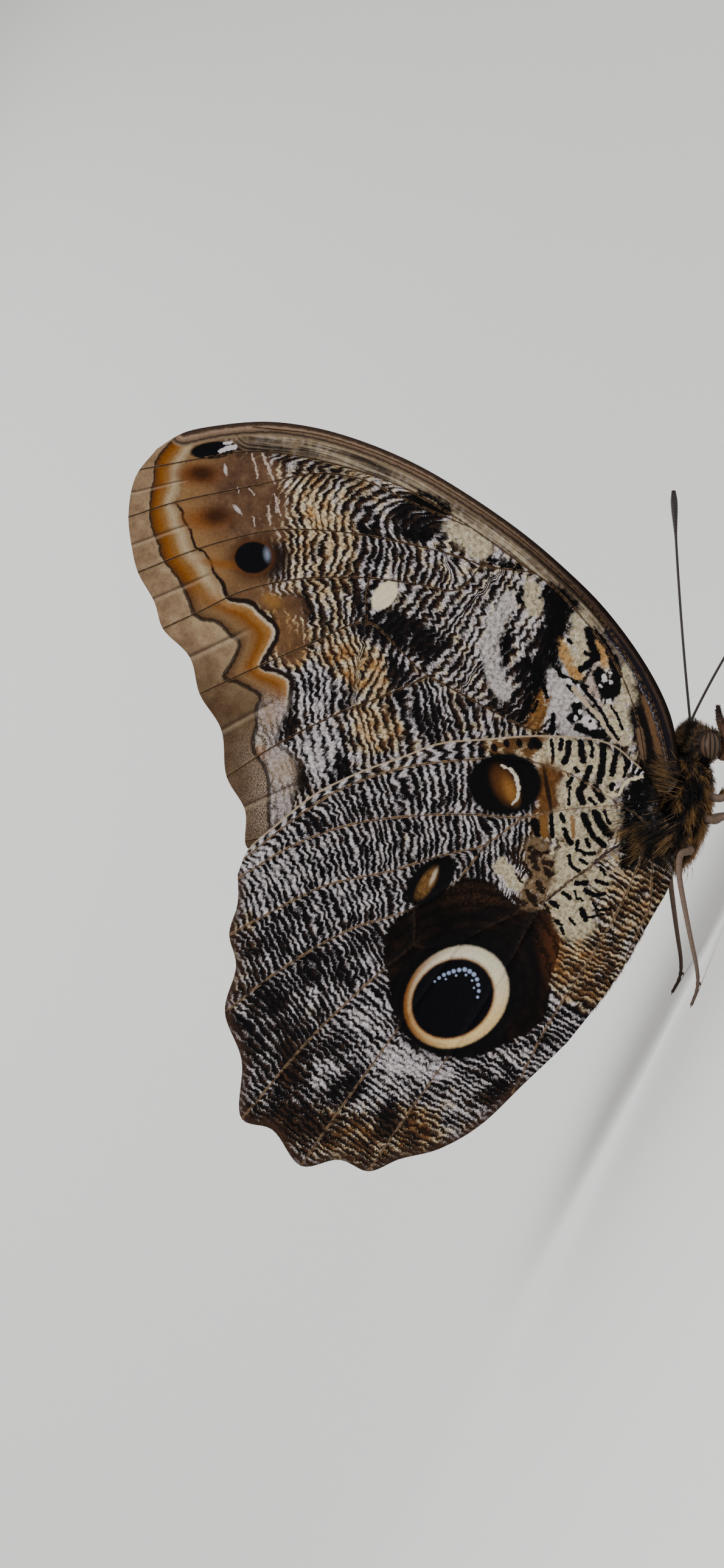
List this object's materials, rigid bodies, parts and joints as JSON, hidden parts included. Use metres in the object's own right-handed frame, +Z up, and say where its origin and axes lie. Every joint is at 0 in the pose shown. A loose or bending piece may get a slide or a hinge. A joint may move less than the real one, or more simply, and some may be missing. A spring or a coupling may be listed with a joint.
{
  "type": "owl butterfly model",
  "caption": "Life-size owl butterfly standing on its legs with closed, raised wings that carry ridged veins, and feelers held forward.",
  "frame": {"origin": "on the floor, under the middle of the outline's box", "axes": "+X towards the head, +Z up, the right-hand wings at -Y"},
  "size_m": [0.0992, 0.0256, 0.089],
  "materials": {
    "body_fur": "soft brown-black fur with ochre tufts",
    "abdomen_fur": "short brown fur",
    "eye": "smooth brown with darker stripes",
    "palp_scales": "close tan scales",
    "horny_skin": "satin black-brown",
    "foreleg_fur": "orange-brown fur",
    "leg_skin": "pinkish tan, satin",
    "forewing_scales": "matt scales, rippled grey, brown and black",
    "hindwing_scales": "matt scales with a large eyespot"
  },
  "bodies": {
    "root": {"head": "body_fur", "thorax": "body_fur", "abdomen": "abdomen_fur", "eye_right": "eye", "eye_left": "eye", "palp_right": "palp_scales", "palp_left": "palp_scales", "proboscis": "horny_skin", "antenna_right": "horny_skin", "antenna_left": "horny_skin", "foreleg_right": "foreleg_fur", "foreleg_left": "foreleg_fur", "midleg_right": "leg_skin", "midleg_left": "leg_skin", "hindleg_right": "leg_skin", "hindleg_left": "leg_skin", "forewing_right": "forewing_scales", "forewing_left": "forewing_scales", "hindwing_right": "hindwing_scales", "hindwing_left": "hindwing_scales"}
  },
  "joints": []
}
